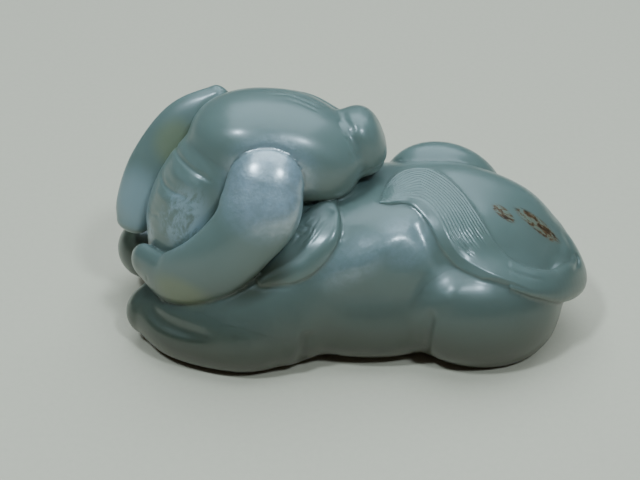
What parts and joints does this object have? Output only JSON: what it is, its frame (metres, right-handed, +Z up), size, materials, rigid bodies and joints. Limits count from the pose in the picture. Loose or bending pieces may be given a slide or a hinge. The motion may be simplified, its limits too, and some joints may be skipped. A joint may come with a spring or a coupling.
{
  "type": "carved stone animal figurine",
  "caption": "Palm-sized jade carving of a resting water buffalo, head turned back over its body, crescent horns round the neck, tail laid along the haunch, flat underside.",
  "frame": {"origin": "on the resting plane under the middle of the belly, at the base mount", "axes": "+Z up; -X towards the chest and knees, +X towards the rump and tail; -Y towards the body's left side, which carries the tail's tuft"},
  "size_m": [0.0788, 0.0381, 0.041],
  "materials": {
    "jade_body": "waxy hand polish, grey-green nephrite, slightly translucent",
    "jade_horn": "waxy hand polish, warmer olive grey-green where the stone is thin",
    "jade_tail": "waxy hand polish over finely incised hair lines, paler"
  },
  "bodies": {
    "root": {"torso": "jade_body", "neck": "jade_body", "head": "jade_body", "right_horn": "jade_horn", "left_horn": "jade_horn", "right_ear": "jade_horn", "left_ear": "jade_body", "left_foreleg": "jade_body", "right_foreleg": "jade_body", "left_hind_leg": "jade_body", "right_hind_leg": "jade_body", "tail": "jade_tail"}
  },
  "joints": []
}
